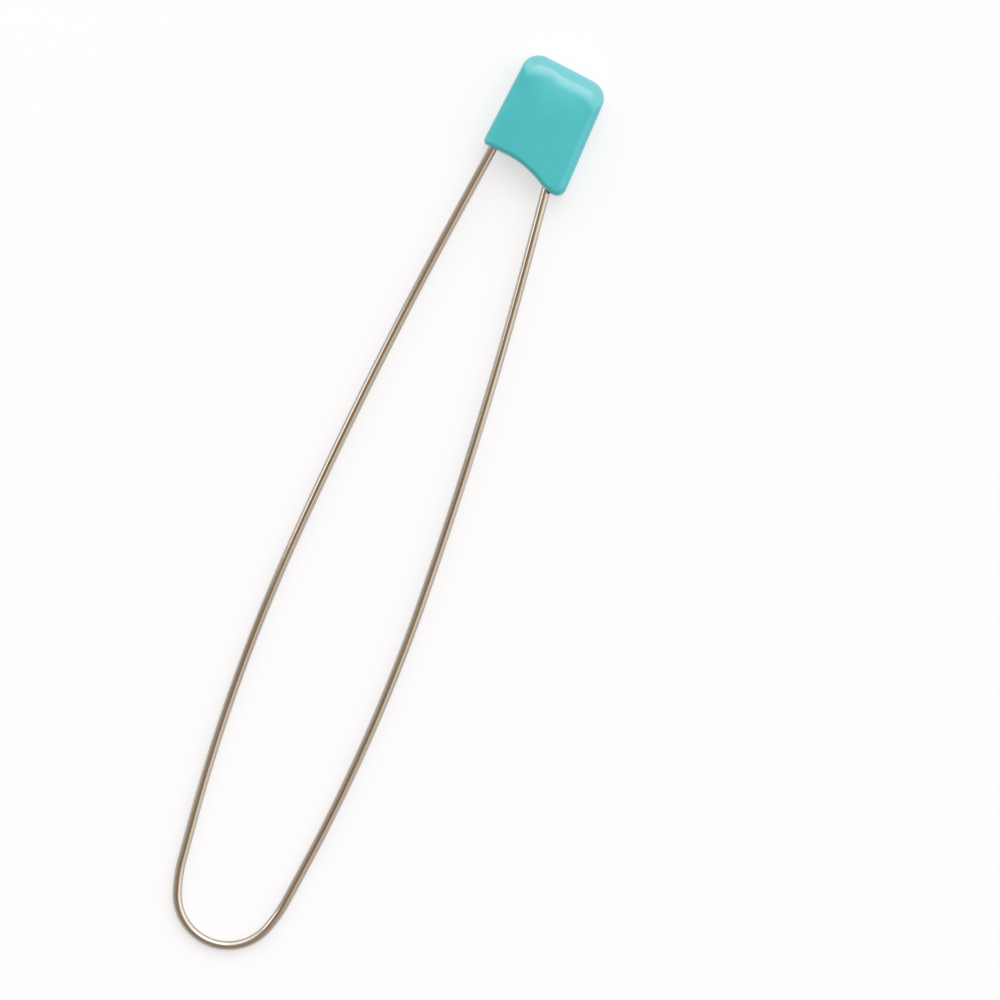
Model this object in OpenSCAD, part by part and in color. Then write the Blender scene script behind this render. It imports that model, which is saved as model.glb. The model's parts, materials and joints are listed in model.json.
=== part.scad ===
// Pin-type stitch holder: one bent spring wire with a moulded head. The head grips the fixed leg and
// catches the blunt free leg in a pocket that opens at the back.
// Lengths are in millimetres and angles in degrees. +Y runs along the holder towards the head, +X across it
// from the fixed leg to the free leg, and +Z out of the head's closed front.

/* [Wire] */
// Diameter of the spring wire
wire_d = 1.5; // [1.2:0.1:1.8]
// Radius of the spring bend, to the middle of the wire
bend_r = 8.6; // [7.5:0.1:10]
// Radius of the shoulder that eases the bend into each leg
shoulder_r = 25; // [18:1:35]
// Angle that each shoulder turns through
shoulder_turn = 13; // [9:0.5:17]
// Straight flank of each leg, next to its shoulder
flank_len = 6; // [4:0.5:9]
// Radius of the lower bow of each leg
low_bow_r = 310; // [260:5:400]
// Length of the lower bow, along the wire
low_bow_len = 50; // [40:1:60]
// Radius of the upper bow of each leg
high_bow_r = 800; // [600:10:1200]
// Length of the upper bow, along the wire
high_bow_len = 60; // [50:1:70]
// Straight top of the fixed leg, up to the head
top_len = 14.6; // [12:0.2:20]
// Distance between the two legs where the fixed leg enters the head
leg_gap = 10.4; // [10:0.1:13]
// How far the head sits off the bend's centre, towards the free leg
head_shift = 1.1; // [0:0.1:2]

/* [Head] */
// Lean of the head towards the free leg
head_tilt = 6.2; // [4:0.1:8]
// Height of the head on the fixed leg's side
head_len = 17.5; // [16:0.1:20]
// Thickness of the head, front to back
head_t = 5; // [4.8:0.1:6]
// Distance from the head's side to the fixed leg's axis, at the bottom
side_margin = 2; // [1.8:0.1:3]
// Height of the wire's axis above the head's back
wire_z = 2.2; // [2:0.1:2.4]
// Plan radius of the top corner over the fixed leg
fixed_corner_r = 2.7; // [2:0.1:3.5]
// Plan radius of the top corner over the free leg
free_corner_r = 3.2; // [2.5:0.1:4]
// Plan radius of the bottom corner beside the fixed leg
foot_corner_r = 0.8; // [0.6:0.1:1.2]
// Plan radius of the lobe that covers the free leg
lobe_corner_r = 1.6; // [1.2:0.1:2]
// How far the lobe reaches below the rest of the bottom edge
lobe_drop = 2.3; // [1.5:0.1:3]
// Taper of the head's free side, which widens downwards
side_taper = 4.2; // [2:0.1:6]
// Length of the straight bottom edge, before the scallop
foot_len = 4.6; // [4:0.1:6]
// Radius of the scallop between the legs
scallop_r = 16.2; // [14:0.1:22]
// Round on the front edges at the top and sides
front_edge_r = 1.3; // [0.8:0.1:1.6]
// Round on the front edge along the bottom
bottom_edge_r = 0.9; // [0.5:0.1:1.2]
// Chamfer round the back
back_chamfer = 0.3; // [0.1:0.1:0.5]

/* [Inside the head] */
// Thickness of the front wall over the pocket
front_wall = 1.5; // [1.2:0.1:1.6]
// Thickness of the top wall
top_wall = 1.8; // [1.4:0.1:3]
// Width of the rail that grips the fixed leg
rail_w = 4.6; // [4.2:0.1:5]
// Wall of the lobe beside the free leg, at its mouth
guard_wall = 2.25; // [1.6:0.05:3]
// Corner radius inside the pocket
pocket_r = 1; // [0.6:0.1:1.5]
// Running gap between the free leg and the guard wall
seat_gap = 0.12; // [0.08:0.01:0.2]
// How far the snap lip stands in from the guard wall
lip_reach = 0.35; // [0.2:0.05:0.4]
// Length of the snap lip up from the mouth
lip_len = 6; // [4:0.5:9]
// Thickness of the snap lip
lip_t = 1.1; // [0.8:0.05:1.15]
// Gap between the free leg's tip and the top of the pocket
tip_gap = 2.2; // [1.5:0.1:4]
// Length of the fixed leg inside the head, without its anchor
grip_len = 10; // [8:0.5:11]
// Length of the coined anchor on the fixed leg's end
anchor_len = 3; // [2:0.5:4]
// Width of the coined anchor
anchor_w = 2.2; // [1.9:0.1:2.4]
// Thickness of the coined anchor
anchor_t = 0.9; // [0.7:0.1:1.1]
// Length over which the wire is coined from round to flat
anchor_ramp = 1; // [0.5:0.1:2]
// Moulding gap round the gripped wire
grip_gap = 0.02; // [0.01:0.01:0.04]

/* [Hidden] */

ring_fn = 48;
path_fn = 360;
pad_fn = 40;
edge_steps = 6;
corner_steps = 5;
tip_steps = 4;
// The rounded tip ends in a flat this far round its quarter circle.
tip_angle = 75;
wire_sides = 24;
chord_gap = 0.01;
beyond = 4;

steel = "silver";
plastic = "mediumturquoise";

wire_r = wire_d / 2;
pocket_t = head_t - front_wall;
pocket_top = head_len - top_wall;

// A stretch of a leg is [length along the wire, bow radius], with radius 0 for a straight one.
// A station is [x, y, lean]: a place on the free side's leg, and its outward lean from +Y.
shoulder = [shoulder_r * shoulder_turn * PI / 180, shoulder_r];
leg = [shoulder, [flank_len, 0], [low_bow_len, low_bow_r], [high_bow_len, high_bow_r], [top_len, 0]];

function turn(stretch) = stretch[1] == 0 ? 0 : stretch[0] / stretch[1] * 180 / PI;

function next_station(at, stretch) =
    let (lean = at[2] - turn(stretch), run = stretch[0], r = stretch[1])
    r == 0
        ? [at[0] + run * sin(lean), at[1] + run * cos(lean), lean]
        : [at[0] + r * (cos(lean) - cos(at[2])), at[1] + r * (sin(at[2]) - sin(lean)), lean];

function stations(at, stretches, i = 0) =
    i == len(stretches)
        ? [at]
        : concat([at], stations(next_station(at, stretches[i]), stretches, i + 1));

function last(list) = list[len(list) - 1];

// The leg leans out from the bend's centre just so far that its top ends at the wanted distance across.
upright = last(stations([bend_r, 0, 0], leg));
function lean_to(across) = asin(across / norm([upright[0], upright[1]])) - atan2(upright[0], upright[1]);
function leg_start(across) = let (lean = lean_to(across)) [bend_r * cos(lean), -bend_r * sin(lean), lean];

fixed_across = leg_gap / 2 - head_shift;
free_across = leg_gap / 2 + head_shift;
fixed_stations = stations(leg_start(fixed_across), leg);
free_stations = stations(leg_start(free_across), leg);

// The head's own frame: x across it from its fixed side, y up it from its bottom edge.
fixed_mouth = [-last(fixed_stations)[0], last(fixed_stations)[1]];
head_across = [cos(head_tilt), -sin(head_tilt)];
head_up = [sin(head_tilt), cos(head_tilt)];
head_corner = fixed_mouth - side_margin * head_across;
function in_head(p) = let (d = [p[0], p[1]] - head_corner) [d * head_across, d * head_up];
function from_head(p) = head_corner + p[0] * head_across + p[1] * head_up;

// The free leg in the head's frame, from the top of its upper bow to its tip.
bow_top = in_head(free_stations[4]);
free_lean = last(free_stations)[2] - head_tilt;
free_along = [sin(free_lean), cos(free_lean)];
free_side = [cos(free_lean), -sin(free_lean)];
function run_to_height(y) = (y - bow_top[1]) / free_along[1];
function on_free_leg(y, aside = 0) = bow_top + run_to_height(y) * free_along + aside * free_side;
free_mouth = on_free_leg(-lobe_drop);
tip_run = run_to_height(pocket_top - tip_gap);

// The head's outline: four round corners, each [x, y, plan radius, edge round].
guard_side = free_mouth[0] + wire_r + seat_gap + guard_wall;
function side_x(y, r) = guard_side - (y + lobe_drop) * tan(side_taper) - r / cos(side_taper);
free_corner_y = head_len - free_corner_r;
lobe_y = lobe_corner_r - lobe_drop;
corners = [
    [foot_corner_r, foot_corner_r, foot_corner_r, bottom_edge_r],
    [fixed_corner_r, head_len - fixed_corner_r, fixed_corner_r, front_edge_r],
    [side_x(free_corner_y, free_corner_r), free_corner_y, free_corner_r, front_edge_r],
    [side_x(lobe_y, lobe_corner_r), lobe_y, lobe_corner_r, bottom_edge_r]
];

// The whole holder's box in the bend's frame, which puts the origin at the middle of its bottom.
function bulge(at, stretch) =
    at[2] > 0 && at[2] <= turn(stretch) ? at[0] + stretch[1] * (1 - cos(at[2])) : at[0];
function leg_reach(at) = wire_r + max([for (i = [0:len(leg) - 1]) bulge(at[i], leg[i])]);
corner_places = [for (c = corners) concat(from_head(c), c[2])];
box_left = min(-leg_reach(fixed_stations), min([for (c = corner_places) c[0] - c[2]]));
box_right = max(leg_reach(free_stations), max([for (c = corner_places) c[0] + c[2]]));
box_bottom = -bend_r - wire_r;
box_top = max([for (c = corner_places) c[1] + c[2]]);
bend_centre = -[box_left + box_right, box_bottom + box_top] / 2;

function arc_points(centre, r, from, to, steps) =
    [for (i = [0:steps]) let (a = from + (to - from) * i / steps) centre + r * [cos(a), sin(a)]];

// Points that round off corner p between its neighbours a and b.
function rounded_corner(a, p, b, r) =
    let (
        to_a = (a - p) / norm(a - p),
        to_b = (b - p) / norm(b - p),
        half = acos(to_a * to_b) / 2,
        middle = (to_a + to_b) / norm(to_a + to_b),
        centre = p + middle * r / sin(half),
        from = p + to_a * r / tan(half) - centre,
        to = p + to_b * r / tan(half) - centre,
        start = atan2(from[1], from[0]),
        sweep = atan2(from[0] * to[1] - from[1] * to[0], from * to)
    )
    arc_points(centre, r, start, start + sweep, corner_steps);

// Stations along a stretch, close enough together for its chords to stay within chord_gap of its bow
function chord_steps(stretch) =
    stretch[1] == 0 ? 1 : ceil(stretch[0] / sqrt(8 * stretch[1] * chord_gap));
function along(at, stretch) =
    let (steps = chord_steps(stretch))
    [for (i = [0:steps - 1]) next_station(at, [stretch[0] * i / steps, stretch[1]])];
function leg_path(at, first, final) =
    concat([for (i = [first:final]) each along(at[i], leg[i])], [at[final + 1]]);

// The fixed leg mirrors the free side's stations, and is followed down towards the bend.
function backwards(list) = [for (i = [len(list) - 1:-1:0]) list[i]];
function fixed_side(path) = [for (at = backwards(path)) [-at[0], at[1], 180 - at[2]]];

// A station with its section's half width across the holder and half thickness through it
function with_section(at, half_w = wire_r, half_t = wire_r) = [at[0], at[1], at[2], half_w, half_t];
function round_sections(path) = [for (at = path) with_section(at)];
function further(at, run) = next_station(at, [run, 0]);

// Solid wire along a path of stations with sections
module wire(path) {
    rings = len(path);
    points = [
        for (at = path)
            for (k = [0:wire_sides - 1])
                let (a = 360 * k / wire_sides, side = at[3] * cos(a))
                [at[0] + side * cos(at[2]), at[1] - side * sin(at[2]), wire_z + at[4] * sin(a)]
    ];
    first_cap = [[for (k = [0:wire_sides - 1]) k]];
    last_cap = [[for (k = [wire_sides - 1:-1:0]) (rings - 1) * wire_sides + k]];
    walls = [
        for (i = [0:rings - 2])
            for (k = [0:wire_sides - 1])
                let (next = (k + 1) % wire_sides, low = i * wire_sides, high = low + wire_sides)
                [low + k, high + k, high + next, low + next]
    ];
    polyhedron(points, concat(first_cap, walls, last_cap));
}

module on_bend() {
    translate([bend_centre[0], bend_centre[1], 0])
        children();
}

module on_head() {
    translate([head_corner[0], head_corner[1], 0])
        rotate(-head_tilt)
            children();
}

// Bore for the fixed leg and slot for its anchor, along the leg from the head's bottom edge
module grip_bore() {
    at = last(fixed_stations);
    translate([-at[0], at[1], wire_z])
        rotate([-90, 0, at[2]]) {
            translate([0, 0, -beyond])
                cylinder(h = grip_len + beyond, r = wire_r + grip_gap, $fn = ring_fn);
            translate([-anchor_w / 2 - grip_gap, -wire_r - grip_gap, grip_len - anchor_ramp])
                cube([anchor_w + 2 * grip_gap, wire_d + 2 * grip_gap, anchor_ramp + anchor_len + grip_gap]);
        }
}

module head_corner_pad(c) {
    edge = min(c[3], c[2]);
    translate([c[0], c[1], 0])
        rotate_extrude($fn = pad_fn)
            polygon(concat(
                [[0, head_t], [0, 0], [c[2] - back_chamfer, 0], [c[2], back_chamfer]],
                arc_points([c[2] - edge, head_t - edge], edge, 0, 90, edge_steps)
            ));
}

// Section of the cutter for the bottom edge: r is how far it reaches, and its flare rounds the front edge.
function edge_cutter(r) = concat(
    [[0, head_t + beyond], [0, -beyond], [r, -beyond]],
    [for (p = arc_points([r + bottom_edge_r, head_t - bottom_edge_r], bottom_edge_r, 180, 90, edge_steps)) p],
    [[r + bottom_edge_r, head_t + beyond]]
);

module bottom_cutter() {
    translate([foot_len, -scallop_r, 0])
        rotate_extrude($fn = path_fn)
            polygon(edge_cutter(scallop_r));
    translate([foot_len, -beyond, 0])
        rotate([90, 0, -90])
            linear_extrude(foot_len + beyond)
                polygon(edge_cutter(beyond));
}

module pocket() {
    mouth = -lobe_drop - beyond;
    aside = wire_r + seat_gap;
    low_guard = on_free_leg(mouth, aside);
    high_guard = on_free_leg(pocket_top, aside);
    low_rail = [rail_w, mouth];
    high_rail = [rail_w, pocket_top];
    translate([0, 0, -beyond])
        linear_extrude(pocket_t + beyond)
            polygon(concat(
                [low_guard],
                rounded_corner(low_guard, high_guard, high_rail, pocket_r),
                rounded_corner(high_guard, high_rail, low_rail, pocket_r),
                [low_rail]
            ));
}

module snap_lip() {
    aside = wire_r + seat_gap;
    lip_top = lip_len - lobe_drop;
    mouth = -lobe_drop - beyond;
    linear_extrude(lip_t)
        polygon([
            on_free_leg(mouth, aside - lip_reach),
            on_free_leg(mouth, aside + guard_wall / 2),
            on_free_leg(lip_top, aside + guard_wall / 2),
            on_free_leg(lip_top, aside - lip_reach)
        ]);
}

module head_block() {
    hull()
        for (c = corners)
            head_corner_pad(c);
}

// One-piece moulding: closed front, walls, a rail for the fixed leg and a pocket for the free leg
module head() {
    color(plastic)
        on_bend()
            difference() {
                on_head()
                    difference() {
                        head_block();
                        bottom_cutter();
                        difference() {
                            pocket();
                            snap_lip();
                        }
                    }
                grip_bore();
            }
}

// The leg that the head grips, with the coined anchor on its end
module fixed_leg() {
    mouth = last(fixed_stations);
    anchor = [
        for (run = [grip_len, grip_len + anchor_len])
            with_section(further(mouth, run), anchor_w / 2, anchor_t / 2)
    ];
    gripped = concat([with_section(further(mouth, grip_len - anchor_ramp))], anchor);
    color(steel)
        on_bend()
            mirror([1, 0, 0])
                wire(concat(round_sections(leg_path(fixed_stations, 1, 4)), gripped));
}

// The round bend that works as the spring, with the shoulders that ease it into the legs
module spring_bend() {
    from = 180 - fixed_stations[0][2];
    sweep = free_stations[0][2] - from;
    steps = chord_steps([bend_r * abs(sweep) * PI / 180, bend_r]);
    round_bend = [
        for (i = [1:steps - 1])
            let (lean = from + sweep * i / steps)
            [bend_r * cos(lean), -bend_r * sin(lean), lean]
    ];
    color(steel)
        on_bend()
            wire(round_sections(concat(
                fixed_side(leg_path(fixed_stations, 0, 0)),
                round_bend,
                leg_path(free_stations, 0, 0)
            )));
}

// The free leg's flank, where the model gathers the wire's flexing
module flex_section() {
    color(steel)
        on_bend()
            wire(round_sections(leg_path(free_stations, 1, 1)));
}

// The leg that carries the stitches, up to its blunt tip in the head's pocket
module free_leg() {
    dome_foot = tip_run - wire_r;
    dome = [
        for (i = [0:tip_steps])
            let (a = tip_angle * i / tip_steps, r = wire_r * cos(a))
            with_section(further(free_stations[4], dome_foot + wire_r * sin(a) / sin(tip_angle)), r, r)
    ];
    color(steel)
        on_bend()
            wire(concat(round_sections(leg_path(free_stations, 2, 3)), dome));
}

head();
fixed_leg();
spring_bend();
flex_section();
free_leg();
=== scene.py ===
"""Dresses the stitch holder: one bent spring wire and its moulded head, on a white table.

Lengths are in metres and angles in radians. The frame is the part's own: +Y runs along the holder
towards the head, +X across it from the fixed leg to the free leg, and +Z out of the head's closed front.
"""
import json
import math

import bmesh
import bpy
from mathutils import Matrix, Vector
from mathutils.kdtree import KDTree

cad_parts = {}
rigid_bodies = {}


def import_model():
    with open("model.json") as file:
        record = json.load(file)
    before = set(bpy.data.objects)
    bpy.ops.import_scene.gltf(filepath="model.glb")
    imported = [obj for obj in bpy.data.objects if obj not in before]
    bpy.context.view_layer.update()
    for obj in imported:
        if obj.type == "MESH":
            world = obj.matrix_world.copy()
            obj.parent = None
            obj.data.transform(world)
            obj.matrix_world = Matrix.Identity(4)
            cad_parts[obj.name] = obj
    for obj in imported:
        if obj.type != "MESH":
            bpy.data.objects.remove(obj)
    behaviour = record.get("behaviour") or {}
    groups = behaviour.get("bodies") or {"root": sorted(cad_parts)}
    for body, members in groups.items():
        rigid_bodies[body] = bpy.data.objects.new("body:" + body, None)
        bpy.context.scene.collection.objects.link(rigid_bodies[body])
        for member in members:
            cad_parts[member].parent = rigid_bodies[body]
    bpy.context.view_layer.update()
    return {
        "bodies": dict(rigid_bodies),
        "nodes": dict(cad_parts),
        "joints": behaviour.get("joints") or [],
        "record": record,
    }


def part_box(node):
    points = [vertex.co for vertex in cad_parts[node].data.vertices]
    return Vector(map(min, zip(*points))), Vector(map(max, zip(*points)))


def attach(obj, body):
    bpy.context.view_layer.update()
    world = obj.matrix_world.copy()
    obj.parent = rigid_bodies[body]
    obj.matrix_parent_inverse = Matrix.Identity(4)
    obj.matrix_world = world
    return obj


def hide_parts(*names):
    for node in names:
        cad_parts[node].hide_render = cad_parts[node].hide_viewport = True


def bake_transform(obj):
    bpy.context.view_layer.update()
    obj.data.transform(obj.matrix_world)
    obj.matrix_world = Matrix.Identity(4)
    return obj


MM = 0.001
UP = Vector((0, 0, 1))

# The wire, as it is bent. A stretch is its length and its bow's radius, which is 0 where it is straight
WIRE_R = 0.75 * MM
BEND_R = 8.6 * MM
SHOULDER_R = 25 * MM
SHOULDER_TURN = math.radians(13)
FLANK = (6 * MM, 0)
LOW_BOW = (50 * MM, 310 * MM)
HIGH_BOW = (60 * MM, 800 * MM)
TOP = (14.6 * MM, 0)
LEG_GAP = 10.4 * MM
HEAD_SHIFT = 1.1 * MM
GRIP_LEN = 10 * MM
ANCHOR_LEN = 3 * MM
ANCHOR_RAMP = 1 * MM
ANCHOR_W = 2.2 * MM
ANCHOR_T = 0.9 * MM
WIRE_SIDES = 32
CHORD_GAP = 0.0015 * MM
LEAST_BOW_STEPS = 3
FLEX_REACH = 1.6 * MM
FLEX_RINGS = 16
DOME_STEPS = 7
DOME_TURN = math.radians(84)

# The head's outline, measured up from the fixed leg's mouth. The foot ends BOTTOM_LOWER below the mouth and
# the lobe LOBE_DROP lower still, and the scallop starts FOOT_LEN from the fixed side
HEAD_TILT = math.radians(6.2)
HEAD_LEN = 17.5 * MM
HEAD_T = 5 * MM
SIDE_MARGIN = 2 * MM
FIXED_CORNER_R = 3 * MM
FREE_CORNER_R = 3.2 * MM
FOOT_CORNER_R = 0.8 * MM
LOBE_CORNER_R = 1.6 * MM
LOBE_DROP = 2.3 * MM
SIDE_TAPER = math.radians(4.2)
FOOT_LEN = 4.6 * MM
SCALLOP_R = 16.2 * MM
BOTTOM_LOWER = 0.24 * MM
THREE_QUARTERS = 1.5 * math.pi
ARC_STEP = 0.05 * MM
OUTLINE_POINTS = 260

# Its front edges: their widths, how far they fall, and the corners of the face between them. An edge turns
# into the bottom edge as its inward normal comes to point up the head, within the span of FACING_DOWN
SIDE_EDGE = 1.7 * MM
TOP_EDGE = 3.7 * MM
BOTTOM_EDGE = 0.7 * MM
SIDE_DROP = 1.25 * MM
TOP_DROP = 3 * MM
BOTTOM_DROP = 0.95 * MM
INNER_FOOT_R = 0.3 * MM
INNER_LOBE_R = 0.6 * MM
INNER_FREE_R = 1.9 * MM
INNER_FIXED_R = 1.7 * MM
FACING_DOWN = (0.3, 0.8)

# Their round, in degrees, with close rings at the fold in the top edge. The bottom edge is a plain bevel by
# a share of BOTTOM_BEVEL, and the top edge is flat up to its fold by a share of TOP_FOLD. TOP_SWAY is where
# the fold strays: how far across the head, over what width, and how far up
EDGE_STEP = 6
EDGE_END = 84
FOLD_DEGREES = 54
EDGE_DEGREES = (
    *range(0, FOLD_DEGREES, EDGE_STEP),
    FOLD_DEGREES - 1,
    FOLD_DEGREES,
    FOLD_DEGREES + 1,
    *range(FOLD_DEGREES + EDGE_STEP, EDGE_END + 1, EDGE_STEP),
)
EDGE_TURNS = tuple(math.radians(turn) for turn in EDGE_DEGREES)
FOLD_TURN = math.radians(FOLD_DEGREES)
BOTTOM_BEVEL = 0.15
TOP_FOLD = 0.5
TOP_SWAY = ((4.8 * MM, 1.3 * MM, 0.26 * MM), (7.8 * MM, 2 * MM, -0.11 * MM))

# Its face swells by up to CROWN far from its edges. CROWN_TOP is what its highest point reaches, and the
# rings lie at these shares of the way from the face's edge to its middle
CROWN = 0.42 * MM
CROWN_REACH = 3 * MM
CROWN_TOP = 0.32 * MM
FACE_RINGS = (0.03, 0.06, 0.1, 0.14, 0.18, 0.23, 0.28, 0.34, 0.41, 0.49, 0.58, 0.68, 0.79, 0.9, 0.97)

# Its back edge, pocket, snap lip and bore. A cutter reaches BEYOND past the surface that it opens
BACK_EDGE = 0.3 * MM
BACK_TURNS = tuple(math.radians(turn) for turn in (0, 30, 60, 90))
FRONT_WALL = 1.5 * MM
TOP_WALL = 1.8 * MM
RAIL_W = 4.6 * MM
GUARD_WALL = 2.25 * MM
POCKET_R = 1 * MM
POCKET_SEGMENTS = 6
SEAT_GAP = 0.12 * MM
LIP_REACH = 0.35 * MM
LIP_LEN = 6 * MM
LIP_T = 1.1 * MM
TIP_GAP = 2.2 * MM
GRIP_GAP = 0.02 * MM
BORE_SIDES = 48
BEYOND = 4 * MM

# Finishing a mesh. OUTER_SIDE, in square metres, is next to nothing: it only puts a vertex right above or
# below the wire's middle on the outer side of the loop
MERGE_GAP = 0.0005 * MM
CREASE = math.radians(35)
HEAD_CREASE = math.radians(28)
OUTER_SIDE = 1e-12

# The plastic, with the painted shade at its top rim: its colour and how far that takes to come in
PLASTIC_IOR = 1.65
COAT_ROUGHNESS = 0.17
PLASTIC_FLOW = {
    "Scale": 220,
    "Detail": 3,
    "Start": 0.3,
    "End": 0.7,
    "First Color": (0.028, 0.572, 0.632, 1),
    "Last Color": (0.038, 0.602, 0.66, 1),
    "Least Roughness": 0.34,
    "Most Roughness": 0.46,
}
PLASTIC_PEEL = {"Scale": 900, "Detail": 2}
PEEL_STRENGTH = 0.12
PEEL_DEPTH = 0.02 * MM
RIM_SHADE_COLOUR = (0.075, 0.52, 0.565, 1)
RIM_SHADE_FADE = 1.6 * MM

# The plated wire, whose pattern is stretched along it
WIRE_GLANCING_TINT = (0.15, 0.15, 0.16, 1)
WIRE_STRETCH = (16.0, 0.16, 1.0)
WIRE_LINES = {
    "Scale": 1,
    "Detail": 3,
    "Start": 0.3,
    "End": 0.65,
    "First Color": (0.5, 0.43, 0.36, 1),
    "Last Color": (0.69, 0.63, 0.56, 1),
    "Least Roughness": 0.08,
    "Most Roughness": 0.18,
}
LINES_STRENGTH = 0.1
LINES_DEPTH = 0.01 * MM

# The table
TABLE_SIZE = 8
TABLE_GAP = 0.02 * MM
TABLE_COLOUR = (0.47, 0.47, 0.49, 1)
TABLE_ROUGHNESS = 0.9
TABLE_GLOW = 0.58

# The photograph's view: straight down, rolled round the line of sight
VIEW_ROLL = math.radians(21.3)
VIEW_CENTRE = Vector((18.01 * MM, 7.69 * MM, 2.2 * MM))
VIEW_WIDTH = 167.54 * MM
VIEW_LENS = 300
VIEW_CLIP = (0.01, 10)

# The room, in the photograph's directions: its window side, its ceiling and its other walls
WINDOW_SIDE = (0.469, 0.883, 0)
CEILING_CENTRE = (-0.08, 0, 0.997)
ROOM_WINDOW = (1.4, 1.4, 1.4)
ROOM_CEILING = (0.36, 0.26, 0.18)
ROOM_CEILING_NEAR = (0.36, 0.33, 0.29)
ROOM_LEFT = (0.45, 0.4, 0.35)
ROOM_RIGHT = (1.1, 1.03, 0.98)
ROOM_NEAR = (0.42, 0.38, 0.34)
ROOM_FOOT = (0.45, 0.43, 0.41)

# Where one part of the room blends into the next, by how squarely a direction faces it, from -1 to 1
SIDES_SPAN = (-0.35, 0.45)
NEAR_SPAN = (-0.7, -0.1)
FOOT_SPAN = (0.05, 0.3)
CEILING_NEAR_SPAN = (-0.35, -0.05)
CEILING_SPAN = (0.79, 0.92)
WINDOW_SPAN = (0, 0.5)

# Lamps: degrees round from the photograph's right, degrees from overhead, distance in metres, half of the
# width and of the height in degrees, and brightness
LAMPS = {
    "window": (68, 44, 2.2, 16, 19, 0.7),
    "window_pane": (68, 50, 2.2, 16, 13, 0.65),
    "side_glint": (154.5, 61.7, 0.532, 4.5, 15, 1.6),
}

# A Mix node's colour sockets, which share their names with its other sockets
MIX_A = 6
MIX_B = 7
MIX_RESULT = 2


# ---------------------------------------------------------------- the wire's path

def next_station(at, stretch):
    """The station (x, y, lean) at the end of a stretch (length, bow radius) that turns left."""
    x, y, lean = at
    run, radius = stretch
    if radius == 0:
        return (x + run * math.sin(lean), y + run * math.cos(lean), lean)
    turned = lean - run / radius
    return (
        x + radius * (math.cos(turned) - math.cos(lean)),
        y + radius * (math.sin(lean) - math.sin(turned)),
        turned,
    )


SHOULDER = (SHOULDER_R * SHOULDER_TURN, SHOULDER_R)
LEG = (SHOULDER, FLANK, LOW_BOW, HIGH_BOW, TOP)
AT_BEND, AT_PIVOT, AT_BOW, _, AT_TOP, AT_MOUTH = range(len(LEG) + 1)


def stations(start):
    """Every station up a leg, from the bend to the head."""
    found = [start]
    for stretch in LEG:
        found.append(next_station(found[-1], stretch))
    return found


def leg_stations(across):
    """Stations of the leg whose top ends at the wanted distance across from the bend's centre."""
    top_x, top_y, _ = stations((BEND_R, 0, 0))[AT_MOUTH]
    lean = math.asin(across / math.hypot(top_x, top_y)) - math.atan2(top_x, top_y)
    return stations((BEND_R * math.cos(lean), -BEND_R * math.sin(lean), lean))


FIXED = leg_stations(LEG_GAP / 2 - HEAD_SHIFT)
FREE = leg_stations(LEG_GAP / 2 + HEAD_SHIFT)


def mirrored(at):
    """The same station on the fixed leg's side, facing down towards the bend."""
    return (-at[0], at[1], math.pi - at[2])


# ---------------------------------------------------------------- small helpers

def deselect():
    """Back to object mode with nothing selected."""
    if bpy.context.mode != "OBJECT":
        bpy.ops.object.mode_set(mode="OBJECT")
    bpy.ops.object.select_all(action="DESELECT")


def select_only(piece):
    deselect()
    piece.select_set(True)
    bpy.context.view_layer.objects.active = piece


def smooth(value, low, high):
    """0 below low, 1 above high, and a smooth step between them."""
    t = min(max((value - low) / (high - low), 0), 1)
    return t * t * (3 - 2 * t)


def mix(a, b, share):
    return a + (b - a) * share


def settle(piece, name, crease=CREASE):
    """Names a finished mesh, turns its faces outwards and smooths it between its sharp edges."""
    select_only(piece)
    piece.name = name
    piece.data.name = name
    bpy.ops.object.mode_set(mode="EDIT")
    bpy.ops.mesh.select_all(action="SELECT")
    bpy.ops.mesh.remove_doubles(threshold=MERGE_GAP)
    bpy.ops.mesh.normals_make_consistent(inside=False)
    bpy.ops.object.mode_set(mode="OBJECT")
    bpy.ops.object.shade_smooth_by_angle(angle=crease)
    return piece


def new_piece():
    """The primitive just added, with its place, turn and size put into its mesh."""
    bpy.ops.object.transform_apply(location=True, rotation=True, scale=True)
    return bpy.context.active_object


def cut(piece, cutter, operation="DIFFERENCE"):
    """Cuts piece with cutter, or joins the two, and removes the cutter."""
    select_only(piece)
    boolean = piece.modifiers.new("cut", "BOOLEAN")
    boolean.operation = operation
    boolean.solver = "EXACT"
    boolean.object = cutter
    bpy.ops.object.modifier_apply(modifier=boolean.name)
    bpy.data.objects.remove(cutter)
    return piece


# ---------------------------------------------------------------- bending the wire

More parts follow.
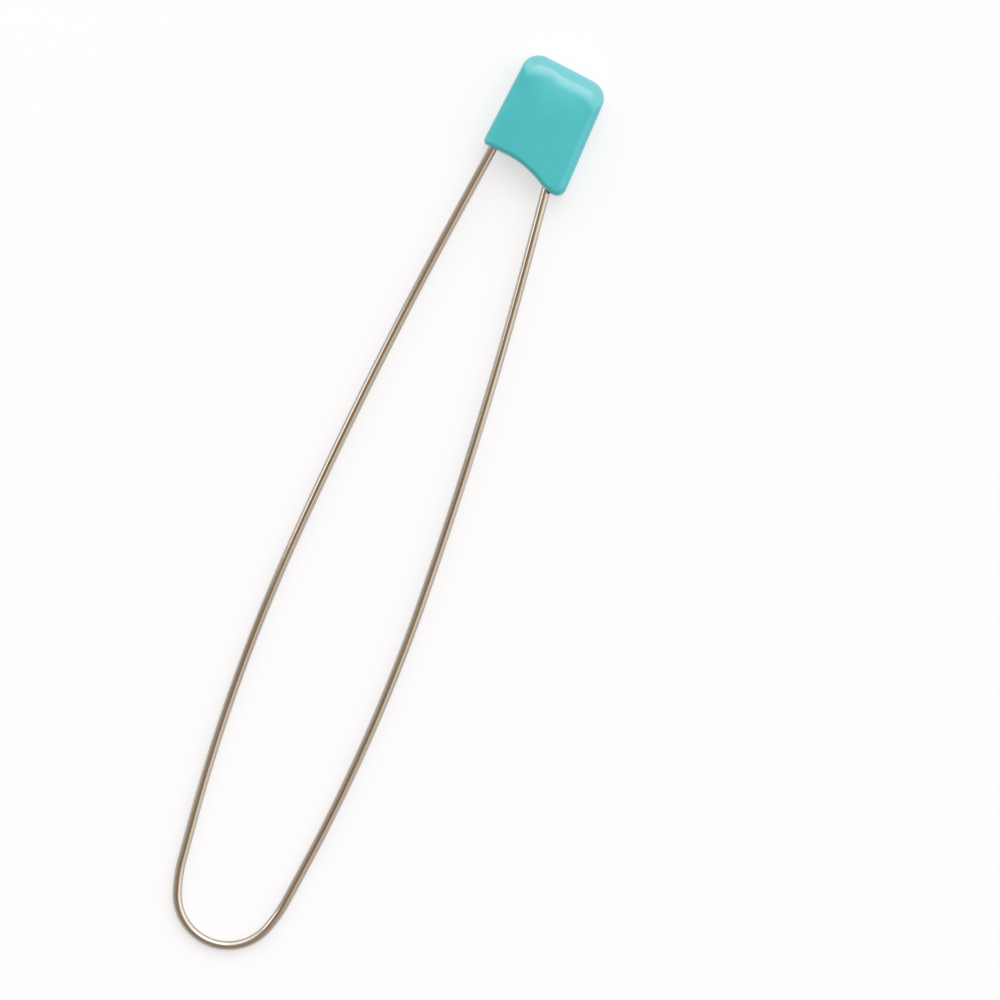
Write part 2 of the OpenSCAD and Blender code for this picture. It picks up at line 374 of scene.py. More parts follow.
class WireBender:
    """Feeds round wire out along straights and bows, as a bending machine does."""

    def __init__(self, at, origin, fed=0.0):
        """Starts at a station, measured from the bend's centre, with a round face."""
        deselect()
        self.origin = origin
        self.at = at
        self.fed = fed
        self.rings = [(self.place(), fed)]
        bpy.ops.mesh.primitive_circle_add(
            vertices=WIRE_SIDES,
            radius=WIRE_R,
            fill_type="NGON",
            location=self.place(),
            rotation=(-math.pi / 2, 0, -at[2]),
        )
        self.piece = new_piece()
        bpy.ops.object.mode_set(mode="EDIT")
        bpy.ops.mesh.select_all(action="SELECT")

    def place(self):
        return self.origin + Vector((self.at[0], self.at[1], 0))

    def along(self):
        return Vector((math.sin(self.at[2]), math.cos(self.at[2]), 0))

    def across(self):
        return Vector((math.cos(self.at[2]), -math.sin(self.at[2]), 0))

    def straight(self, run):
        """Feeds a straight length."""
        bpy.ops.mesh.extrude_region_move(TRANSFORM_OT_translate={"value": self.along() * run})
        self.move_on((run, 0))

    def bow(self, run, radius, least_steps=LEAST_BOW_STEPS):
        """Feeds a bowed length, in steps whose chords lie within CHORD_GAP of the bow."""
        steps = max(least_steps, math.ceil(run / math.sqrt(8 * radius * CHORD_GAP)))
        centre = self.place() - self.across() * radius
        bpy.ops.mesh.spin(steps=steps, angle=-run / radius, center=centre, axis=UP)
        for _ in range(steps):
            self.move_on((run / steps, radius))

    def feed(self, stretch):
        """Feeds a stretch, straight or bowed."""
        run, radius = stretch
        if radius == 0:
            self.straight(run)
        else:
            self.bow(run, radius)

    def move_on(self, stretch):
        """Notes the new ring's place and the length fed so far."""
        self.at = next_station(self.at, stretch)
        self.fed += stretch[0]
        self.rings.append((self.place(), self.fed))

    def coin(self, half_width, half_thickness):
        """Squeezes the wire's end face to these halves of its width and thickness, or back to round."""
        mesh = bmesh.from_edit_mesh(self.piece.data)
        centre, across = self.place(), self.across()
        for vert in mesh.verts:
            if vert.select:
                offset = vert.co - centre
                wide = offset.dot(across) * half_width / WIRE_R
                thick = offset.z * half_thickness / WIRE_R
                vert.co = centre + across * wide + UP * thick
        bmesh.update_edit_mesh(self.piece.data)

    def round_end(self):
        """Rounds the wire's end into a dome almost one radius long."""
        angles = [DOME_TURN * step / DOME_STEPS for step in range(DOME_STEPS + 1)]
        for before, angle in zip(angles, angles[1:]):
            self.straight(WIRE_R * math.sin(angle) - WIRE_R * math.sin(before))
            share = math.cos(angle) / math.cos(before)
            bpy.ops.transform.resize(value=(share, share, share), center_override=self.place())

    def finish(self, name):
        settle(self.piece, name)
        self.map_surface()
        return self.piece

    def map_surface(self):
        """Gives the wire a map: round the wire across it, and the length fed along it, in wire turns."""
        tree = KDTree(len(self.rings))
        for i, (centre, _) in enumerate(self.rings):
            tree.insert(centre, i)
        tree.balance()
        mesh = self.piece.data
        spots = []
        for vert in mesh.vertices:
            centre, i, _ = tree.find(vert.co)
            offset = vert.co - centre
            side = math.copysign(math.hypot(offset.x, offset.y), offset.x * centre.x + OUTER_SIDE)
            turn = math.atan2(offset.z, side) / (2 * math.pi)
            spots.append((turn, self.rings[i][1] / (2 * math.pi * WIRE_R)))
        layer = mesh.uv_layers.new(name="along_wire")
        for face in mesh.polygons:
            corners = [spots[mesh.loops[k].vertex_index] for k in face.loop_indices]
            turns = [turn for turn, _ in corners]
            # A face that spans more than half a turn crosses the seam
            seam = max(turns) - min(turns) > 0.5
            for k, (turn, run) in zip(face.loop_indices, corners):
                layer.data[k].uv = (turn + 1 if seam and turn < 0 else turn, run)


def make_holder_wire(origin):
    """The anchored leg and the spring bend, up to where the wire starts to flex."""
    bender = WireBender(mirrored(next_station(FIXED[AT_MOUTH], (GRIP_LEN + ANCHOR_LEN, 0))), origin)
    bender.coin(ANCHOR_W / 2, ANCHOR_T / 2)
    bender.straight(ANCHOR_LEN)
    bender.straight(ANCHOR_RAMP)
    bender.coin(WIRE_R ** 2 / (ANCHOR_W / 2), WIRE_R ** 2 / (ANCHOR_T / 2))
    bender.straight(GRIP_LEN - ANCHOR_RAMP)
    for stretch in reversed(LEG):
        bender.feed(stretch)
    sweep = math.pi - FIXED[AT_BEND][2] - FREE[AT_BEND][2]
    bender.bow(BEND_R * sweep, BEND_R)
    bender.bow(SHOULDER[0] - FLEX_REACH, SHOULDER_R)
    return bender.finish("spring_wire"), bender.fed


def make_flexing_wire(origin, fed):
    """The stretch in which the model gathers the wire's flexing, and the flank after it."""
    start = next_station(FREE[AT_BEND], (SHOULDER[0] - FLEX_REACH, SHOULDER_R))
    bender = WireBender(start, origin, fed)
    bender.bow(FLEX_REACH, SHOULDER_R, FLEX_RINGS)
    for _ in range(FLEX_RINGS):
        bender.straight(FLEX_REACH / FLEX_RINGS)
    bender.straight(FLANK[0] - FLEX_REACH)
    return bender.finish("flexing_wire"), bender.fed, start


def make_free_wire(origin, fed, tip_run):
    """The free leg, up to its blunt tip."""
    bender = WireBender(FREE[AT_BOW], origin, fed)
    bender.feed(LOW_BOW)
    bender.feed(HIGH_BOW)
    bender.straight(tip_run - WIRE_R)
    bender.round_end()
    return bender.finish("free_wire")


# ---------------------------------------------------------------- the head's shape

class HeadFrame:
    """The head's own frame: v across it from its fixed side, u up it from the fixed leg's mouth."""

    def __init__(self, bend):
        self.across = Vector((math.cos(HEAD_TILT), -math.sin(HEAD_TILT)))
        self.up = Vector((math.sin(HEAD_TILT), math.cos(HEAD_TILT)))
        mouth = Vector((-FIXED[AT_MOUTH][0], FIXED[AT_MOUTH][1])) + bend
        self.corner = mouth - SIDE_MARGIN * self.across
        bow_top = Vector(FREE[AT_TOP][:2]) + bend - self.corner
        self.bow_top = Vector((bow_top.dot(self.across), bow_top.dot(self.up)))
        lean = FREE[AT_MOUTH][2] - HEAD_TILT
        self.free_along = Vector((math.sin(lean), math.cos(lean)))
        self.free_side = Vector((math.cos(lean), -math.sin(lean)))
        self.tip_run = self.run_to_height(HEAD_LEN - TOP_WALL - TIP_GAP)
        self.lobe_side = self.on_free_leg(-LOBE_DROP).x + WIRE_R + SEAT_GAP + GUARD_WALL

    def run_to_height(self, u):
        return (u - self.bow_top.y) / self.free_along.y

    def on_free_leg(self, u, aside=0.0):
        return self.bow_top + self.run_to_height(u) * self.free_along + aside * self.free_side

    def guard_side(self, u):
        """The head's tapered side, on the free leg's side."""
        return self.lobe_side - (u + LOBE_DROP) * math.tan(SIDE_TAPER)

    def point(self, v, u, z):
        flat = self.corner + v * self.across + u * self.up
        return Vector((flat.x, flat.y, z))


def head_corners(frame):
    """The head's four round corners, each (v, u, radius), counterclockwise from the foot."""
    def by_guard(u, radius):
        return frame.guard_side(u) - radius / math.cos(SIDE_TAPER)

    lobe_u = LOBE_CORNER_R - LOBE_DROP - BOTTOM_LOWER
    free_u = HEAD_LEN - FREE_CORNER_R
    return [
        (FOOT_CORNER_R, FOOT_CORNER_R - BOTTOM_LOWER, FOOT_CORNER_R),
        (by_guard(lobe_u, LOBE_CORNER_R), lobe_u, LOBE_CORNER_R),
        (by_guard(free_u, FREE_CORNER_R), free_u, FREE_CORNER_R),
        (FIXED_CORNER_R, HEAD_LEN - FIXED_CORNER_R, FIXED_CORNER_R),
    ]


def outward_normal(a, b):
    """Angle of the outward normal of the line that touches corners a and b, going counterclockwise."""
    run = Vector((b[0] - a[0], b[1] - a[1]))
    return math.atan2(run.y, run.x) - math.pi / 2 + math.asin((a[2] - b[2]) / run.length)


def direction(angle):
    return Vector((math.cos(angle), math.sin(angle)))


def inner_corner(corner, first, last, first_inset, last_inset, radius):
    """The corner of the face that lies inside a corner of the outline, by the two edges' widths."""
    a, b = direction(first), direction(last)
    centre = Vector(corner[:2])
    rows = Matrix((a, b))
    known = Vector((
        centre.dot(a) + corner[2] - first_inset - radius,
        centre.dot(b) + corner[2] - last_inset - radius,
    ))
    moved = rows.inverted() @ known
    return (moved.x, moved.y, radius)


def arc_pair(outer, inner, start, end):
    """Matching points along an arc of the outline and an arc of the face, each (v, u, radius)."""
    steps = max(2, math.ceil(abs(end - start) * outer[2] / ARC_STEP))
    pairs = []
    for i in range(steps + 1):
        way = direction(start + (end - start) * i / steps)
        pairs.append((Vector(outer[:2]) + outer[2] * way, Vector(inner[:2]) + inner[2] * way))
    return pairs


def corner_pair(outer, first, last, first_inset, last_inset, radius):
    """Matching points counterclockwise round a corner, from one outward normal to the next."""
    inner = inner_corner(outer, first, last, first_inset, last_inset, radius)
    return arc_pair(outer, inner, first, first + (last - first) % (2 * math.pi))


def head_outline(frame):
    """Evenly spaced points round the head, counterclockwise, each with its point on the face's edge."""
    foot, lobe, free_top, fixed_top = head_corners(frame)
    bottom, right = outward_normal(foot, lobe), outward_normal(lobe, free_top)
    top, left = outward_normal(free_top, fixed_top), outward_normal(fixed_top, foot)
    # The scallop ends where it meets the line under the lobe, which is followed back from the lobe
    touch = Vector(lobe[:2]) + lobe[2] * direction(bottom)
    back = direction(bottom + THREE_QUARTERS)
    centre = Vector((FOOT_LEN, -SCALLOP_R - BOTTOM_LOWER))
    reach = (touch - centre).dot(back)
    gap = (touch - centre).length_squared - SCALLOP_R ** 2
    meet = touch + back * (-reach - math.sqrt(max(reach ** 2 - gap, 0)))
    scallop_end = math.atan2(meet.y - centre.y, meet.x - centre.x)
    path = corner_pair(foot, left, THREE_QUARTERS, SIDE_EDGE, BOTTOM_EDGE, INNER_FOOT_R)
    path += arc_pair(
        (centre.x, centre.y, SCALLOP_R),
        (centre.x, centre.y, SCALLOP_R + BOTTOM_EDGE),
        math.pi / 2,
        scallop_end,
    )
    path += corner_pair(lobe, bottom, right, BOTTOM_EDGE, SIDE_EDGE, INNER_LOBE_R)
    path += corner_pair(free_top, right, top, SIDE_EDGE, TOP_EDGE, INNER_FREE_R)
    path += corner_pair(fixed_top, top, left, TOP_EDGE, SIDE_EDGE, INNER_FIXED_R)
    return even_pairs(path, OUTLINE_POINTS)


def even_pairs(path, count):
    """Pairs along the closed path, spaced evenly along its first points and eased a little."""
    closed = path + [path[0]]
    lengths = [(b[0] - a[0]).length for a, b in zip(closed, closed[1:])]
    step = sum(lengths) / count
    outer, inner, k, passed = [], [], 0, 0.0
    for i in range(count):
        target = i * step
        while passed + lengths[k] < target:
            passed += lengths[k]
            k += 1
        share = (target - passed) / lengths[k] if lengths[k] else 0
        outer.append(closed[k][0].lerp(closed[k + 1][0], share))
        inner.append(closed[k][1].lerp(closed[k + 1][1], share))
    return eased(outer), eased(eased(inner))


def eased(values):
    """Each value averaged with its two neighbours on a closed loop."""
    count = len(values)
    return [(values[i - 1] + 2 * values[i] + values[(i + 1) % count]) / 4 for i in range(count)]


def inward_normals(points):
    found = []
    for i, _ in enumerate(points):
        run = points[(i + 1) % len(points)] - points[i - 1]
        found.append(Vector((-run.y, run.x)).normalized())
    return [n.normalized() for n in eased(found)]


def facing_down(normal):
    """1 on the bottom edge, whose inward normal points up the head, and 0 elsewhere."""
    return smooth(normal.y, *FACING_DOWN)


def edge_profile(turn):
    """The way in and the fall below the face at a turn of an edge's round, as shares of the whole edge."""
    last = EDGE_TURNS[-1]
    return (1 - math.cos(turn)) / (1 - math.cos(last)), 1 - math.sin(turn) / math.sin(last)


def edge_drop(normal):
    """How far down the side wall the front edge reaches."""
    upper = mix(SIDE_DROP, TOP_DROP, smooth(-normal.y, 0, 1))
    return mix(upper, BOTTOM_DROP, facing_down(normal))


def top_sway(spot, normal):
    """How far the fold in the top front edge wanders up the head, above a point of the outline."""
    strays = sum(rise * math.exp(-((spot.x - place) / spread) ** 2) for place, spread, rise in TOP_SWAY)
    return Vector((0, strays * facing_down(-normal)))


def halfway(share):
    """1 half way across an edge and 0 at its two sides."""
    return 4 * share * (1 - share)


def crown(frame, v, u):
    """How far the front swells above the edge of its face, between its sides and below its top."""
    gaps = (v - SIDE_EDGE, frame.guard_side(u) - v - SIDE_EDGE, HEAD_LEN - u - TOP_EDGE)
    swell = CROWN
    for gap in gaps:
        swell *= 1 - math.exp(-max(gap, 0) / CROWN_REACH)
    return swell


def head_rings(frame, outline):
    """The head's skin as rings of points, from the back over the front edge to the face's middle."""
    outer, inner = outline
    normals = inward_normals(outer)
    sways = [top_sway(p, n) for p, n in zip(outer, normals)]
    drops = [edge_drop(n) for n in normals]
    bevels = [BOTTOM_BEVEL * facing_down(n) for n in normals]
    folds = [TOP_FOLD * facing_down(-n) for n in normals]
    face = HEAD_T - CROWN_TOP
    rings = []
    for turn in BACK_TURNS:
        inset = BACK_EDGE * (1 - math.sin(turn))
        height = BACK_EDGE * (1 - math.cos(turn))
        rings.append([frame.point(*(p + n * inset), height) for p, n in zip(outer, normals)])
    edge_heights = [face + crown(frame, *e) for e in inner]
    fold_inward, fold_fall = edge_profile(FOLD_TURN)
    for turn in EDGE_TURNS:
        inward, rounded = edge_profile(turn)
        flat = mix(1, fold_fall, min(inward / fold_inward, 1)) if turn < FOLD_TURN else rounded
        falls = [mix(mix(rounded, flat, fold), 1 - inward, bevel) for fold, bevel in zip(folds, bevels)]
        spots = [p.lerp(e, inward) + halfway(inward) * sway for p, e, sway in zip(outer, inner, sways)]
        rings.append([
            frame.point(*spot, z - drop * fall)
            for spot, z, drop, fall in zip(spots, edge_heights, drops, falls)
        ])
    middle = sum(inner, Vector((0, 0))) / len(inner)
    for share in FACE_RINGS:
        spots = [e.lerp(middle, share) for e in inner]
        rings.append([frame.point(s.x, s.y, face + crown(frame, s.x, s.y)) for s in spots])
    return rings


def skin(rings):
    """Raises a disc through the rings, one extrusion for each. The disc itself can have any size."""
    deselect()
    bpy.ops.mesh.primitive_circle_add(vertices=len(rings[0]), radius=HEAD_LEN, fill_type="NGON")
    piece = bpy.context.active_object
    bpy.ops.object.mode_set(mode="EDIT")
    bpy.ops.mesh.select_all(action="SELECT")
    mesh = bmesh.from_edit_mesh(piece.data)
    seat = mesh.verts.layers.int.new("seat")
    mesh.verts.ensure_lookup_table()
    for i, vert in enumerate(mesh.verts):
        vert[seat] = i
    for number, ring in enumerate(rings):
        if number:
            bpy.ops.mesh.extrude_region_move()
            mesh = bmesh.from_edit_mesh(piece.data)
            seat = mesh.verts.layers.int["seat"]
        for vert in mesh.verts:
            if vert.select:
                vert.co = ring[vert[seat]]
        bmesh.update_edit_mesh(piece.data)
    mesh.verts.layers.int.remove(mesh.verts.layers.int["seat"])
    bmesh.update_edit_mesh(piece.data)
    bpy.ops.object.mode_set(mode="OBJECT")
    return piece


def prism(frame, corners, bottom, top, rounded=(), radius=0.0):
    """A block whose plan is a polygon in the head's frame, with some of its corners rounded.

    It starts as a disc of any size, whose points go to the polygon's corners.
    """
    deselect()
    bpy.ops.mesh.primitive_circle_add(vertices=len(corners), radius=HEAD_LEN, fill_type="NGON")
    piece = bpy.context.active_object
    for vert, spot in zip(piece.data.vertices, corners):
        vert.co = frame.point(spot.x, spot.y, bottom)
    bpy.ops.object.mode_set(mode="EDIT")
    if rounded:
        bpy.ops.mesh.select_mode(type="VERT")
        bpy.ops.mesh.select_all(action="DESELECT")
        mesh = bmesh.from_edit_mesh(piece.data)
        mesh.verts.ensure_lookup_table()
        for i in rounded:
            mesh.verts[i].select = True
        mesh.select_flush_mode()
        bmesh.update_edit_mesh(piece.data)
        bpy.ops.mesh.bevel(offset=radius, segments=POCKET_SEGMENTS, affect="VERTICES")
    bpy.ops.mesh.select_all(action="SELECT")
    bpy.ops.mesh.extrude_region_move(TRANSFORM_OT_translate={"value": (0, 0, top - bottom)})
    bpy.ops.mesh.select_all(action="SELECT")
    bpy.ops.mesh.normals_make_consistent(inside=False)
    bpy.ops.object.mode_set(mode="OBJECT")
    return piece


def make_pocket(frame):
    """What the pocket takes out of the head, with the snap lip left in."""
    aside = WIRE_R + SEAT_GAP
    mouth = -LOBE_DROP - BEYOND
    top = HEAD_LEN - TOP_WALL
    pocket = prism(
        frame,
        [
            Vector((RAIL_W, mouth)),
            frame.on_free_leg(mouth, aside),
            frame.on_free_leg(top, aside),
            Vector((RAIL_W, top)),
        ],
        -BEYOND,
        HEAD_T - FRONT_WALL,
        rounded=(2, 3),
        radius=POCKET_R,
    )
    lip_top = LIP_LEN - LOBE_DROP
    lip = prism(
        frame,
        [
            frame.on_free_leg(mouth - BEYOND, aside - LIP_REACH),
            frame.on_free_leg(mouth - BEYOND, aside + GUARD_WALL),
            frame.on_free_leg(lip_top, aside + GUARD_WALL),
            frame.on_free_leg(lip_top, aside - LIP_REACH),
        ],
        0,
        LIP_T,
    )
    return cut(pocket, lip)


def make_grip_bore(origin):
    """What the fixed leg's bore and its anchor's slot take out of the head."""
    mouth = origin + Vector((-FIXED[AT_MOUTH][0], FIXED[AT_MOUTH][1], 0))
    lean = FIXED[AT_MOUTH][2]
    along = Vector((-math.sin(lean), math.cos(lean), 0))
    turn = (-math.pi / 2, 0, lean)
    depth = GRIP_LEN + BEYOND
    deselect()
    bpy.ops.mesh.primitive_cylinder_add(
        vertices=BORE_SIDES,
        radius=WIRE_R + GRIP_GAP,
        depth=depth,
        location=mouth + along * (depth / 2 - BEYOND),
        rotation=turn,
    )
    bore = new_piece()
    slot_len = ANCHOR_RAMP + ANCHOR_LEN + GRIP_GAP
    deselect()
    bpy.ops.mesh.primitive_cube_add(
        size=1,
        location=mouth + along * (GRIP_LEN - ANCHOR_RAMP + slot_len / 2),
        rotation=turn,
        scale=(ANCHOR_W + 2 * GRIP_GAP, 2 * (WIRE_R + GRIP_GAP), slot_len),
    )
    slot = new_piece()
    return cut(bore, slot, "UNION")


def make_head(frame, origin):
    """The head's moulding: its pillowed skin, then the pocket, the snap lip and the bore."""
    piece = skin(head_rings(frame, head_outline(frame)))
    settle(piece, "head_moulding")
    cut(piece, make_pocket(frame))
    cut(piece, make_grip_bore(origin))
    return settle(piece, "head_moulding", HEAD_CREASE)


# ---------------------------------------------------------------- materials

def new_material(name):
    material = bpy.data.materials.new(name)
    material.use_nodes = True
    nodes = material.node_tree.nodes
    return material, nodes, material.node_tree.links, nodes["Principled BSDF"]


def node(nodes, kind, **settings):
    """Adds a node and sets its sockets and properties by their names."""
    made = nodes.new(kind)
    for key, value in settings.items():
        if key in made.inputs:
            made.inputs[key].default_value = value
        else:
            setattr(made, key, value)
    return made


def uneven_finish():
    """Shared effect: a fine unevenness that tints a surface, varies its gloss and gives a bump's height."""
    group = bpy.data.node_groups.get("uneven_finish")
    if group:
        return group
    group = bpy.data.node_groups.new("uneven_finish", "ShaderNodeTree")
    inputs = {
        "Vector": "NodeSocketVector",
        "Scale": "NodeSocketFloat",
        "Detail": "NodeSocketFloat",
        "Start": "NodeSocketFloat",
        "End": "NodeSocketFloat",
        "First Color": "NodeSocketColor",
        "Last Color": "NodeSocketColor",
        "Least Roughness": "NodeSocketFloat",
        "Most Roughness": "NodeSocketFloat",
    }
    outputs = {"Color": "NodeSocketColor", "Roughness": "NodeSocketFloat", "Height": "NodeSocketFloat"}
    for name, kind in inputs.items():
        group.interface.new_socket(name, in_out="INPUT", socket_type=kind)
    for name, kind in outputs.items():
        group.interface.new_socket(name, in_out="OUTPUT", socket_type=kind)
    nodes, links = group.nodes, group.links
    given = node(nodes, "NodeGroupInput")
    result = node(nodes, "NodeGroupOutput")
    noise = node(nodes, "ShaderNodeTexNoise")
    for name in ("Vector", "Scale", "Detail"):
        links.new(given.outputs[name], noise.inputs[name])
    share = node(nodes, "ShaderNodeMapRange")
    links.new(noise.outputs["Fac"], share.inputs["Value"])
    links.new(given.outputs["Start"], share.inputs["From Min"])
    links.new(given.outputs["End"], share.inputs["From Max"])
    tint = node(nodes, "ShaderNodeMix", data_type="RGBA")
    links.new(share.outputs["Result"], tint.inputs["Factor"])
    links.new(given.outputs["First Color"], tint.inputs[MIX_A])
    links.new(given.outputs["Last Color"], tint.inputs[MIX_B])
    links.new(tint.outputs[MIX_RESULT], result.inputs["Color"])
    gloss = node(nodes, "ShaderNodeMapRange")
    links.new(noise.outputs["Fac"], gloss.inputs["Value"])
    links.new(given.outputs["Least Roughness"], gloss.inputs["To Min"])
    links.new(given.outputs["Most Roughness"], gloss.inputs["To Max"])
    links.new(gloss.outputs["Result"], result.inputs["Roughness"])
    links.new(noise.outputs["Fac"], result.inputs["Height"])
    return group


def place_finish(nodes, links, where, values):
    """Places the shared effect in a material, on the given coordinates and with its own values."""
    placed = nodes.new("ShaderNodeGroup")
    placed.node_tree = uneven_finish()
    links.new(where, placed.inputs["Vector"])
    for key, value in values.items():
        placed.inputs[key].default_value = value
    return placed


def turquoise_plastic(rim_shade_start):
    """Glossy moulded plastic with a faint flow in its colour, uneven gloss and a painted shade that darkens
    its top rim.
    """
    material, nodes, links, shader = new_material("turquoise_plastic")
    shader.inputs["IOR"].default_value = PLASTIC_IOR
    shader.inputs["Coat Weight"].default_value = 1.0
    shader.inputs["Coat Roughness"].default_value = COAT_ROUGHNESS
    shader.inputs["Coat IOR"].default_value = PLASTIC_IOR
    place = node(nodes, "ShaderNodeTexCoord")
    flow = place_finish(nodes, links, place.outputs["Object"], PLASTIC_FLOW)
    links.new(flow.outputs["Roughness"], shader.inputs["Roughness"])
    level = node(nodes, "ShaderNodeMapping")
    level.inputs["Rotation"].default_value = (0, 0, HEAD_TILT)
    links.new(place.outputs["Object"], level.inputs["Vector"])
    height = node(nodes, "ShaderNodeSeparateXYZ")
    links.new(level.outputs["Vector"], height.inputs["Vector"])
    # Painted shade: the base colour turns darker and greyer towards the head's top, over its rim
    rim = node(nodes, "ShaderNodeMapRange", interpolation_type="SMOOTHSTEP")
    rim.inputs["From Min"].default_value = rim_shade_start
    rim.inputs["From Max"].default_value = rim_shade_start + RIM_SHADE_FADE
    links.new(height.outputs["Y"], rim.inputs["Value"])
    rim_shaded_colour = node(nodes, "ShaderNodeMix", data_type="RGBA")
    rim_shaded_colour.inputs[MIX_B].default_value = RIM_SHADE_COLOUR
    links.new(rim.outputs["Result"], rim_shaded_colour.inputs["Factor"])
    links.new(flow.outputs["Color"], rim_shaded_colour.inputs[MIX_A])
    links.new(rim_shaded_colour.outputs[MIX_RESULT], shader.inputs["Base Color"])
    peel = place_finish(nodes, links, place.outputs["Object"], PLASTIC_PEEL)
    bump = node(nodes, "ShaderNodeBump", Strength=PEEL_STRENGTH, Distance=PEEL_DEPTH)
    links.new(peel.outputs["Height"], bump.inputs["Height"])
    links.new(bump.outputs["Normal"], shader.inputs["Normal"])
    return material


def plated_wire():
    """Bright nickel plate over drawn wire: fine lines along the wire, warmer and duller in places."""
    material, nodes, links, shader = new_material("plated_wire")
    shader.inputs["Metallic"].default_value = 1.0
    shader.inputs["Specular Tint"].default_value = WIRE_GLANCING_TINT
    place = node(nodes, "ShaderNodeUVMap", uv_map="along_wire")
    stretch = node(nodes, "ShaderNodeMapping")
    stretch.inputs["Scale"].default_value = WIRE_STRETCH
    links.new(place.outputs["UV"], stretch.inputs["Vector"])
    lines = place_finish(nodes, links, stretch.outputs["Vector"], WIRE_LINES)
    links.new(lines.outputs["Color"], shader.inputs["Base Color"])
    links.new(lines.outputs["Roughness"], shader.inputs["Roughness"])
    bump = node(nodes, "ShaderNodeBump", Strength=LINES_STRENGTH, Distance=LINES_DEPTH)
    links.new(lines.outputs["Height"], bump.inputs["Height"])
    links.new(bump.outputs["Normal"], shader.inputs["Normal"])
    return material


def white_table():
    """White card, which shows a little whiter to the eye and in reflections than it lights the holder."""
    material, nodes, links, shader = new_material("white_table")
    shader.inputs["Base Color"].default_value = TABLE_COLOUR
    shader.inputs["Roughness"].default_value = TABLE_ROUGHNESS
    shader.inputs["Specular IOR Level"].default_value = 0.0
    shader.inputs["Emission Color"].default_value = (1, 1, 1, 1)
    path = node(nodes, "ShaderNodeLightPath")
    seen = node(nodes, "ShaderNodeMath", operation="MAXIMUM")
    links.new(path.outputs["Is Camera Ray"], seen.inputs[0])
    links.new(path.outputs["Is Glossy Ray"], seen.inputs[1])
    shown = node(nodes, "ShaderNodeMath", operation="MAXIMUM")
    links.new(seen.outputs[0], shown.inputs[0])
    links.new(path.outputs["Is Transmission Ray"], shown.inputs[1])
    strength = node(nodes, "ShaderNodeMath", operation="MULTIPLY")
    links.new(shown.outputs[0], strength.inputs[0])
    strength.inputs[1].default_value = TABLE_GLOW
    links.new(strength.outputs[0], shader.inputs["Emission Strength"])
    return material


# ---------------------------------------------------------------- table, lamps and camera

def make_table(head_box, wire_box):
    """A table that touches the head's back and the spring bend's underside."""
    foot = Vector((0, head_box[0].y, head_box[0].z))
    heel = Vector((0, wire_box[0].y, wire_box[0].z))
    slope = math.atan2(heel.z - foot.z, foot.y - heel.y)
    deselect()
    bpy.ops.mesh.primitive_plane_add(
        size=TABLE_SIZE,
        location=foot - UP * TABLE_GAP,
        rotation=(-slope, 0, 0),
    )
    table = new_piece()
    table.name = "table"
    table.data.materials.append(white_table())


def screen_point(right, up, height):
    """A place given as the photograph sees it: to its right, towards its top, and above the table."""
    roll = Matrix.Rotation(VIEW_ROLL, 3, "Z")
    return VIEW_CENTRE + roll @ Vector((right, up, height))


def add_lamp(name, azimuth, zenith, reach, half_width, half_height, brightness):
    """A rectangle of even brightness, seen from the holder in a direction of the photograph."""
    azimuth, zenith = math.radians(azimuth), math.radians(zenith)
    flat = reach * math.sin(zenith)
    place = screen_point(flat * math.cos(azimuth), flat * math.sin(azimuth), reach * math.cos(zenith))
    lamp = bpy.data.lights.new(name, "AREA")
    lamp.shape = "RECTANGLE"
    lamp.size = 2 * reach * math.tan(math.radians(half_width))
    lamp.size_y = 2 * reach * math.tan(math.radians(half_height))
    lamp.energy = brightness * math.pi * lamp.size * lamp.size_y
    holder = bpy.data.objects.new(name, lamp)
    bpy.context.scene.collection.objects.link(holder)
    holder.location = place
    holder.rotation_euler = (VIEW_CENTRE - place).to_track_quat("-Z", "Y").to_euler()
    holder.visible_camera = False


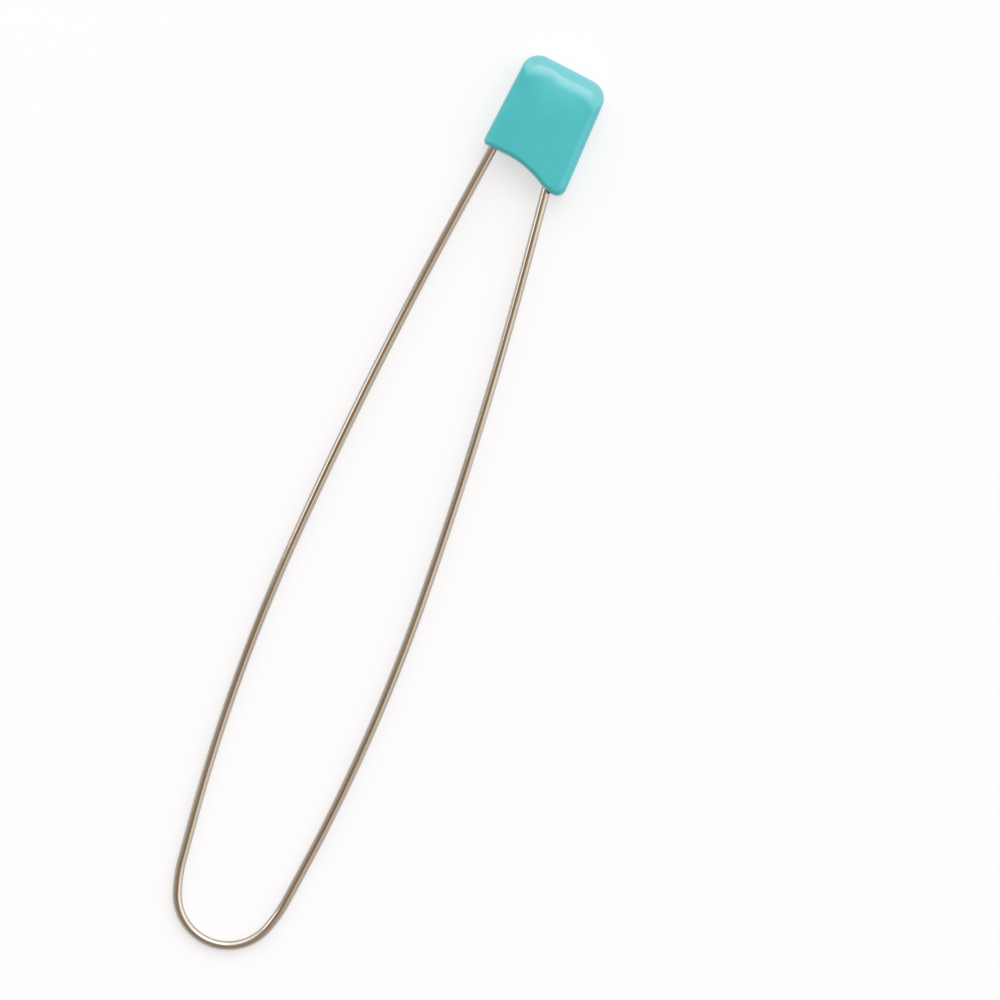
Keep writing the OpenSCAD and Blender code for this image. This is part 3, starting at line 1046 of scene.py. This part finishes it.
def light_room():
    """A plain room: dark and warm overhead, dim on the photograph's left, pale on its right."""
    world = bpy.data.worlds.new("room")
    bpy.context.scene.world = world
    world.use_nodes = True
    nodes, links = world.node_tree.nodes, world.node_tree.links
    place = node(nodes, "ShaderNodeTexCoord")
    turn = node(nodes, "ShaderNodeVectorRotate", rotation_type="Z_AXIS")
    turn.inputs["Angle"].default_value = -VIEW_ROLL
    links.new(place.outputs["Generated"], turn.inputs["Vector"])
    split = node(nodes, "ShaderNodeSeparateXYZ")
    links.new(turn.outputs["Vector"], split.inputs["Vector"])

    def facing(way):
        """How squarely a direction of the room faces the given one, from -1 to 1."""
        product = node(nodes, "ShaderNodeVectorMath", operation="DOT_PRODUCT")
        product.inputs[1].default_value = way
        links.new(turn.outputs["Vector"], product.inputs[0])
        return product.outputs["Value"]

    def blend(value, span, below, above):
        """One colour below a span of values and another above it, each a plain colour or a socket."""
        share = node(nodes, "ShaderNodeMapRange", interpolation_type="SMOOTHSTEP")
        share.inputs["From Min"].default_value = span[0]
        share.inputs["From Max"].default_value = span[1]
        links.new(value, share.inputs["Value"])
        colours = node(nodes, "ShaderNodeMix", data_type="RGBA")
        links.new(share.outputs["Result"], colours.inputs["Factor"])
        for socket, colour in ((colours.inputs[MIX_A], below), (colours.inputs[MIX_B], above)):
            if isinstance(colour, tuple):
                socket.default_value = (*colour, 1)
            else:
                links.new(colour, socket)
        return colours.outputs[MIX_RESULT]

    across, along, height = (split.outputs[axis] for axis in "XYZ")
    sides = blend(across, SIDES_SPAN, ROOM_LEFT, ROOM_RIGHT)
    around = blend(along, NEAR_SPAN, ROOM_NEAR, sides)
    walls = blend(height, FOOT_SPAN, ROOM_FOOT, around)
    ceiling = blend(along, CEILING_NEAR_SPAN, ROOM_CEILING_NEAR, ROOM_CEILING)
    indoors = blend(facing(CEILING_CENTRE), CEILING_SPAN, walls, ceiling)
    whole = blend(facing(WINDOW_SIDE), WINDOW_SPAN, indoors, ROOM_WINDOW)
    links.new(whole, nodes["Background"].inputs["Color"])
    nodes["Background"].inputs["Strength"].default_value = 1.0


def add_camera():
    """The photograph's camera, with the holder where the photograph has it."""
    camera = bpy.data.cameras.new("camera")
    camera.lens = VIEW_LENS
    holder = bpy.data.objects.new("camera", camera)
    bpy.context.scene.collection.objects.link(holder)
    distance = VIEW_WIDTH * camera.lens / camera.sensor_width
    holder.location = VIEW_CENTRE + UP * distance
    holder.rotation_euler = (0, 0, VIEW_ROLL)
    camera.clip_start, camera.clip_end = VIEW_CLIP
    bpy.context.scene.camera = holder


# ---------------------------------------------------------------- assembly


def dress(piece, material):
    """Gives a piece its one material."""
    piece.data.materials.clear()
    piece.data.materials.append(material)


def main():
    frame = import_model()
    bpy.context.scene.view_settings.view_transform = "Standard"

    swing = next(j for j in frame["joints"] if j["name"] == "free_leg_swing")
    pivot = Vector(swing["pos_m"])
    origin = pivot - Vector((FREE[AT_PIVOT][0], FREE[AT_PIVOT][1], 0))
    head_frame = HeadFrame(origin.xy)

    add_camera()
    steel = plated_wire()
    holder_wire, fed = make_holder_wire(origin)
    dress(holder_wire, steel)
    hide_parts("fixed_leg", "spring_bend")
    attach(holder_wire, "holder")

    flexing_wire, fed, flex_start = make_flexing_wire(origin, fed)
    dress(flexing_wire, steel)
    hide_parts("flex_section")
    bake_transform(flexing_wire)

    free_wire = make_free_wire(origin, fed, head_frame.tip_run)
    dress(free_wire, steel)
    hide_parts("free_leg")
    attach(free_wire, "free_leg")

    head = make_head(head_frame, origin)
    # Where the painted shade on the head's top rim starts
    rim_shade_start = head_frame.corner.dot(head_frame.up) + HEAD_LEN - TOP_EDGE
    dress(head, turquoise_plastic(rim_shade_start))
    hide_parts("head")
    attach(head, "holder")

    make_table(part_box("head"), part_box("spring_bend"))
    for name, lamp in LAMPS.items():
        add_lamp(name, *lamp)
    light_room()
    deselect()


main()
